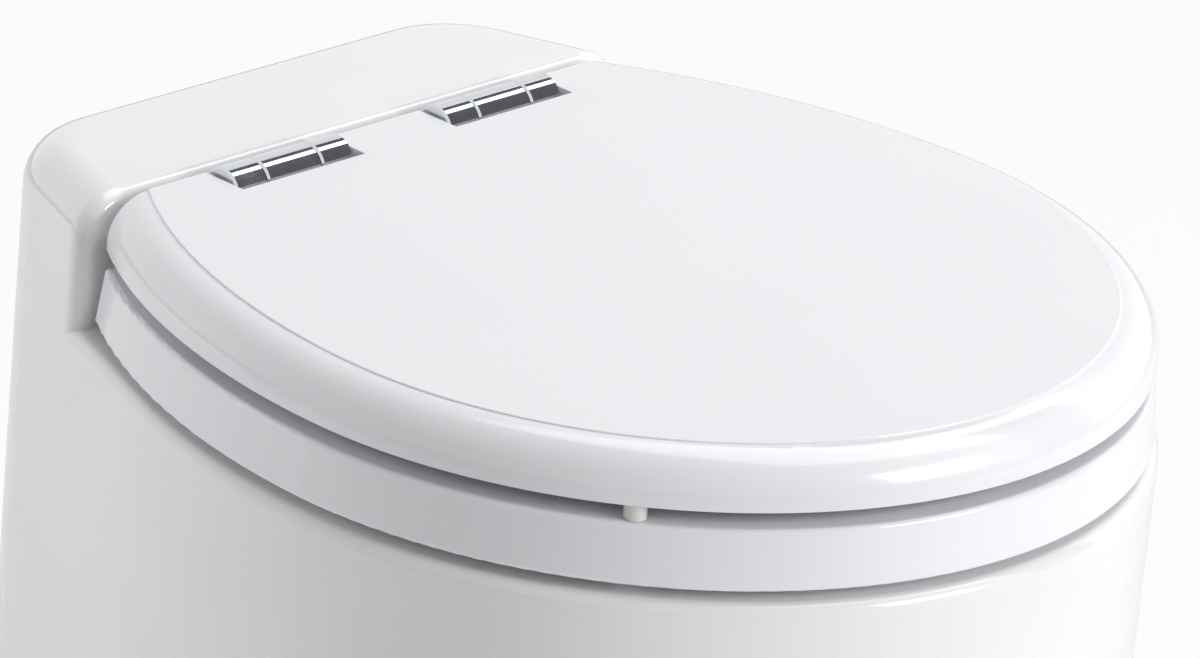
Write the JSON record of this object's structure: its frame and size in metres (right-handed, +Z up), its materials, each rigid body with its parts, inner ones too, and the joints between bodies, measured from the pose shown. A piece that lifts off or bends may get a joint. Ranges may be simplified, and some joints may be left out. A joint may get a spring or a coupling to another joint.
{
  "type": "electric marine toilet",
  "caption": "Compact skirted ceramic marine toilet with raised deck, hinged seat and lid, macerator pump, rinse solenoid valve and non-return discharge.",
  "frame": {"origin": "on the floor, at the middle of the ceramic's footprint", "axes": "+Z up, -Y towards the nose of the bowl, +Y towards the flat back, +X to the left of a person seated on it"},
  "size_m": [0.369, 0.42, 0.437],
  "materials": {
    "vitreous_china": "white vitreous china, gloss glazed and fired",
    "urea_white": "white compression-moulded urea thermoset, polished",
    "chromed_brass": "bright chrome plate on die-cast metal, polished",
    "chromed_zinc_post": "bright chrome plate on die-cast zinc, polished",
    "stainless_pin": "centreless-ground stainless steel",
    "stainless_screw": "cold-headed stainless steel, passivated",
    "stainless_strip": "stainless strip, pressed and rolled",
    "stainless_plate": "cold-rolled stainless sheet, brushed",
    "nylon_white": "white injection-moulded nylon",
    "epdm_black": "black moulded EPDM rubber",
    "tpe_clear": "translucent white moulded TPE",
    "pvc_hose": "white extruded braided PVC hose",
    "acetal_white": "white machined-finish moulded acetal",
    "nylon_black": "black glass-filled injection-moulded nylon",
    "coil_epoxy": "black epoxy-encapsulated coil",
    "steel_plunger": "turned ferritic stainless steel",
    "spring_steel": "drawn stainless spring wire",
    "enamel_can": "steel tube, black powder coated",
    "ferrite": "sintered ferrite, ground",
    "lamination": "stacked silicon-steel laminations, varnished",
    "bearing_steel": "ground bearing steel, sealed",
    "bronze_impeller": "cast and machined gunmetal bronze",
    "seal_carbon": "carbon and nitrile shaft seal"
  },
  "bodies": {
    "base": {"ceramic_body": "vitreous_china", "hinge_post_left": "chromed_zinc_post", "hinge_post_right": "chromed_zinc_post", "hinge_pins": "stainless_pin", "hinge_studs": "stainless_screw", "hinge_washers": "nylon_white", "hinge_nuts": "nylon_white", "rinse_nozzle": "acetal_white", "nozzle_gasket": "epdm_black", "nozzle_nut": "acetal_white", "rinse_hose": "pvc_hose", "rinse_clips": "stainless_strip", "valve_body": "nylon_black", "valve_guide": "steel_plunger", "valve_coil": "coil_epoxy", "valve_nut": "stainless_screw", "valve_spring": "spring_steel", "valve_bracket": "stainless_plate", "valve_screws": "stainless_screw", "pump_feet": "epdm_black", "pump_base": "stainless_plate", "pump_housing": "nylon_black", "sump_coupling": "epdm_black", "coupling_clamps": "stainless_strip", "suction_plate": "stainless_plate", "volute": "nylon_black", "back_plate": "nylon_black", "shaft_seal": "seal_carbon", "motor_bearings": "bearing_steel", "motor_can": "enamel_can", "motor_magnets": "ferrite", "motor_end_cap": "enamel_can", "pump_bolts": "stainless_screw", "tie_rods": "stainless_screw", "cable_gland": "nylon_black", "discharge_elbow": "epdm_black", "discharge_clips": "stainless_strip", "check_body": "acetal_white", "check_outlet": "acetal_white", "fixing_brackets": "nylon_white", "side_screws": "stainless_screw", "screw_caps": "nylon_white"},
    "seat": {"seat_ring": "urea_white", "seat_knuckle_left": "chromed_brass", "seat_knuckle_right": "chromed_brass", "seat_screws": "stainless_screw", "seat_buffers": "tpe_clear"},
    "lid": {"lid": "urea_white", "lid_knuckle_left": "chromed_brass", "lid_knuckle_right": "chromed_brass", "lid_screws": "stainless_screw", "lid_buffers": "tpe_clear"},
    "rotor": {"pump_shaft": "stainless_pin", "armature": "lamination", "cutter": "stainless_plate", "impeller": "bronze_impeller"},
    "plunger": {"valve_plunger": "steel_plunger"},
    "flap": {"check_flap": "epdm_black"}
  },
  "joints": [
    {"name": "seat_hinge", "type": "hinge", "parent": "base", "child": "seat", "pos_m": [0, 0.1217, 0.428], "axis": [-1, 0, 0], "range_deg": [0, 95]},
    {"name": "lid_hinge", "type": "hinge", "parent": "seat", "child": "lid", "pos_m": [0, 0.1217, 0.428], "axis": [1, 0, 0], "range_deg": [-100, 0]},
    {"name": "pump_spin", "type": "hinge", "parent": "base", "child": "rotor", "pos_m": [0, 0.15, 0.15], "axis": [0, 0, 1], "continuous": true},
    {"name": "plunger_slide", "type": "slide", "parent": "base", "child": "plunger", "axis": [0, 0, 1], "range_m": [0, 0.0025], "stiffness_N_per_m": 400, "springref_m": -0.002, "deforming": ["valve_spring"]},
    {"name": "flap_swing", "type": "hinge", "parent": "base", "child": "flap", "pos_m": [0.08, 0.16255, 0.1245], "axis": [1, 0, 0], "range_deg": [0, 50]}
  ]
}
